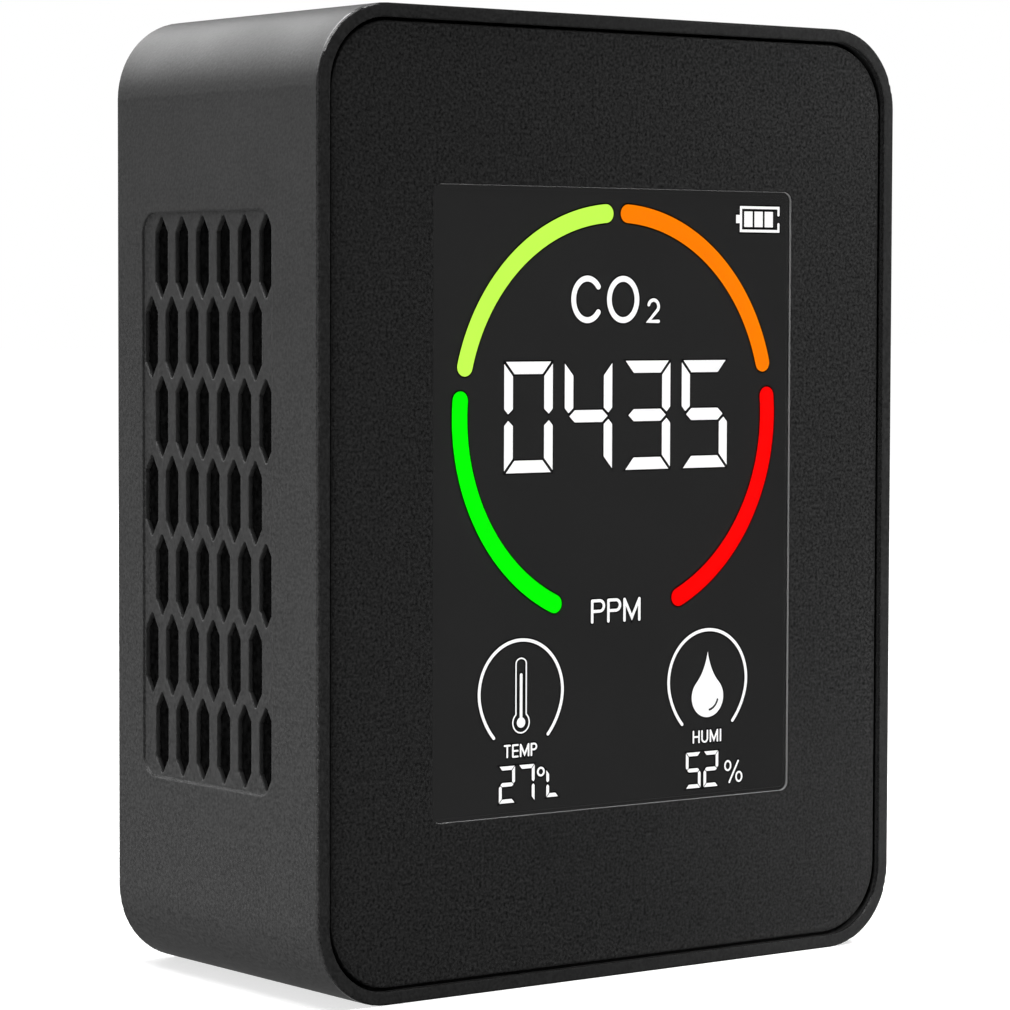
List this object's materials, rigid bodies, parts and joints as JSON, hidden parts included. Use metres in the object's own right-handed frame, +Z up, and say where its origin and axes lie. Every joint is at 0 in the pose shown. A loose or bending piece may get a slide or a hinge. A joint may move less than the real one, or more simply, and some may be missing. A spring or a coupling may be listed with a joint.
{
  "type": "carbon dioxide monitor",
  "caption": "Palm-size upright desk gas monitor: rounded sleeve housing with honeycomb side vents, inset front panel with a lit display, USB socket and push button at the rear.",
  "frame": {"origin": "centre of the footprint, on the surface the monitor stands on", "axes": "+X to the right seen from the front, +Y from the front panel to the rear cover, +Z up"},
  "size_m": [0.069, 0.034, 0.0904],
  "materials": {
    "housing_grey": "fine sand texture, dark grey",
    "panel_black": "fine sand texture, near black",
    "cover_grey": "fine sand texture, dark grey",
    "button_black": "satin",
    "clear_lens": "clear, polished",
    "black_foam": "matte foam",
    "filter_foam": "open-cell foam",
    "polariser_film": "smooth film",
    "display_glass": "polished",
    "white_film": "frosted film",
    "light_guide_acrylic": "clear acrylic",
    "mirror_film": "polished film",
    "white_plastic": "moulded",
    "led_white": "moulded lens",
    "orange_polyimide": "smooth flexible film",
    "cream_plastic": "moulded",
    "board_black": "solder mask",
    "board_blue": "solder mask",
    "chip_black": "moulded epoxy",
    "ferrite_grey": "sintered",
    "capacitor_tan": "fired",
    "resistor_black": "fired",
    "can_metal": "brushed",
    "zinc_screw": "black zinc",
    "board_screw_steel": "plain",
    "shell_steel": "nickel plated",
    "black_nylon": "moulded",
    "gold_plate": "gold plated",
    "white_membrane": "porous membrane",
    "lamp_glass": "clear",
    "cell_foil": "soft foil",
    "tape_black": "foam tape",
    "wire_red": "insulated",
    "wire_black": "insulated",
    "plug_white": "moulded nylon"
  },
  "bodies": {
    "monitor_body": {"housing_sleeve": "housing_grey", "vent_filter_left": "filter_foam", "vent_filter_right": "filter_foam", "front_panel": "panel_black", "rear_cover": "cover_grey", "rear_cover_screws": "zinc_screw", "display_window": "clear_lens", "display_gasket": "black_foam", "lcd_front_polariser": "polariser_film", "lcd_front_glass": "display_glass", "lcd_rear_glass": "display_glass", "lcd_rear_polariser": "polariser_film", "backlight_diffuser": "white_film", "backlight_light_guide": "light_guide_acrylic", "backlight_reflector": "mirror_film", "backlight_led_strip": "orange_polyimide", "backlight_leds": "led_white", "backlight_tray": "white_plastic", "lcd_flex_cable": "orange_polyimide", "lcd_flex_connector": "cream_plastic", "main_board": "board_black", "board_screws": "board_screw_steel", "microcontroller": "chip_black", "charge_controller": "chip_black", "voltage_regulator": "chip_black", "power_inductor": "ferrite_grey", "clock_crystal": "can_metal", "ceramic_capacitors": "capacitor_tan", "chip_resistors": "resistor_black", "usb_socket_shell": "shell_steel", "usb_socket_core": "black_nylon", "usb_socket_contacts": "gold_plate", "switch_base": "black_nylon", "switch_plate": "shell_steel", "switch_snap_disc": "shell_steel", "switch_legs": "shell_steel", "co2_sensor_board": "board_blue", "co2_sensor_chamber": "gold_plate", "co2_sensor_filters": "white_membrane", "co2_sensor_lamp": "lamp_glass", "co2_sensor_detector": "can_metal", "co2_sensor_pins": "gold_plate", "co2_sensor_socket": "black_nylon", "co2_sensor_spacers": "plug_white", "climate_sensor": "chip_black", "battery_cell": "cell_foil", "battery_tape": "tape_black", "battery_protection_board": "board_black", "battery_lead_positive": "wire_red", "battery_lead_negative": "wire_black", "battery_plug": "plug_white", "battery_header": "plug_white"},
    "power_button": {"power_button": "button_black"},
    "switch_plunger": {"switch_plunger": "black_nylon"}
  },
  "joints": [
    {"name": "power_button_press", "type": "slide", "parent": "monitor_body", "child": "power_button", "axis": [0, -1, 0], "range_m": [0, 0.0004], "stiffness_N_per_m": 3000},
    {"name": "switch_plunger_press", "type": "slide", "parent": "monitor_body", "child": "switch_plunger", "axis": [0, -1, 0], "range_m": [0, 0.0004]}
  ],
  "couplings": [
    {"joint": "switch_plunger_press", "follows": "power_button_press", "ratio": 1}
  ]
}
